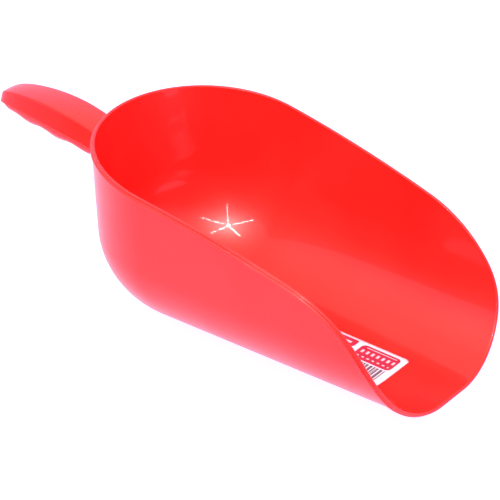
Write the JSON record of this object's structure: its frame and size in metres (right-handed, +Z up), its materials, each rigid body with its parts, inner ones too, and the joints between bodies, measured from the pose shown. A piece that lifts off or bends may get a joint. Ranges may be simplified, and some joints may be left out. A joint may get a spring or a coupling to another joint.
{
  "type": "feed scoop",
  "caption": "Open hand scoop for grain and pellets: round-backed, U-section bowl with a swept rim and lip, a hollow two-part handle with finger grooves, and a paper label.",
  "frame": {"origin": "under the middle of the scoop's whole length, on the plane that its flat floor rests on", "axes": "+X from the handle to the lip along the centre line, +Z up out of the bowl's mouth"},
  "size_m": [0.3586, 0.1532, 0.113],
  "materials": {
    "bowl_plastic": "glossy injection-moulded polyethylene, bright red",
    "handle_plastic": "glossy injection-moulded polyethylene, bright red",
    "label_film": "white printed sticker with red panels and black bars"
  },
  "bodies": {
    "root": {"bowl": "bowl_plastic", "handle_shell": "handle_plastic", "finger_grip": "handle_plastic", "label": "label_film"}
  },
  "joints": []
}
